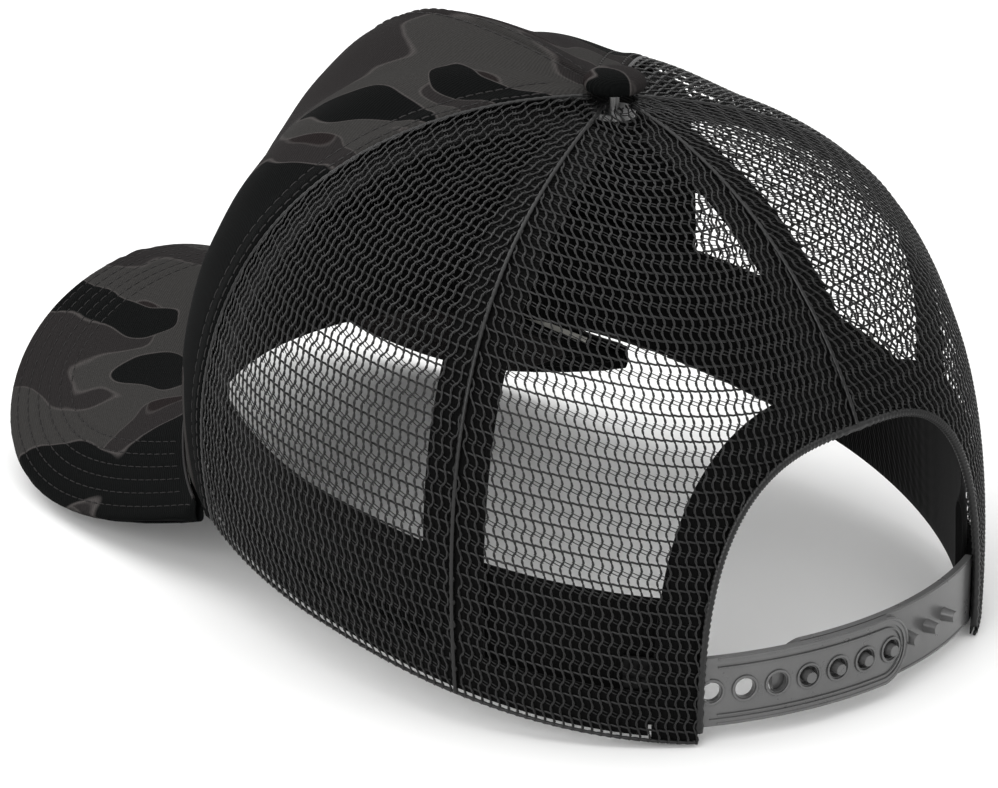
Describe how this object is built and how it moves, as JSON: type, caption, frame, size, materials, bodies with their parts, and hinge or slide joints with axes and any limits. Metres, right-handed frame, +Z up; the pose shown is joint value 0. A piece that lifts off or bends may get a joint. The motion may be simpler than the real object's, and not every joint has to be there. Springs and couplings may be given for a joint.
{
  "type": "trucker cap",
  "caption": "Trucker cap with a tall printed twill front, curved brim, open mesh sides and back, and an arched back opening closed by a two-part snap strap.",
  "frame": {"origin": "on the floor, under the middle of the head opening", "axes": "+Z up, the brim points to -Y, the wearer's left is +X"},
  "size_m": [0.177, 0.2579, 0.1292],
  "materials": {
    "camo_twill": "dark camouflage print on cotton twill",
    "knit_mesh": "open warp-knit mesh, slight sheen",
    "foam_backing": "stiff buckram and lining, matte",
    "seam_tape": "woven tape, matte",
    "sweatband": "brushed cotton, matte",
    "brim_board": "polyethylene sheet",
    "button_metal": "plain",
    "strap_plastic": "satin moulded plastic",
    "thread": "twisted polyester thread"
  },
  "bodies": {
    "crown": {"front_panel": "camo_twill", "front_backing": "foam_backing", "dart_tape": "seam_tape", "side_mesh_left": "knit_mesh", "side_mesh_right": "knit_mesh", "back_mesh_left": "knit_mesh", "back_mesh_right": "knit_mesh", "front_tape_left": "seam_tape", "front_tape_right": "seam_tape", "side_tape_left": "seam_tape", "side_tape_right": "seam_tape", "back_tape": "seam_tape", "opening_binding": "knit_mesh", "mesh_hem_left": "knit_mesh", "mesh_hem_right": "knit_mesh", "sweatband": "sweatband", "brim_board": "brim_board", "brim_top_cover": "camo_twill", "brim_under_cover": "camo_twill", "button_cover": "camo_twill", "button_core": "button_metal", "button_rivet": "button_metal", "button_back_cap": "button_metal", "hole_strap_tab": "strap_plastic", "peg_strap_tab": "strap_plastic", "hole_strap_stitches": "thread", "peg_strap_stitches": "thread"},
    "hole_strap": {"hole_strap": "strap_plastic"},
    "peg_strap": {"peg_strap": "strap_plastic"}
  },
  "joints": [
    {"name": "hole_strap_swing", "type": "hinge", "parent": "crown", "child": "hole_strap", "pos_m": [0.04716, 0.08215, 0.0128], "axis": [0, 0, -1], "range_deg": [0, 12]},
    {"name": "peg_strap_swing", "type": "hinge", "parent": "crown", "child": "peg_strap", "pos_m": [-0.04029, 0.08484, 0.0128], "axis": [0, 0, -1], "range_deg": [0, 45]}
  ]
}
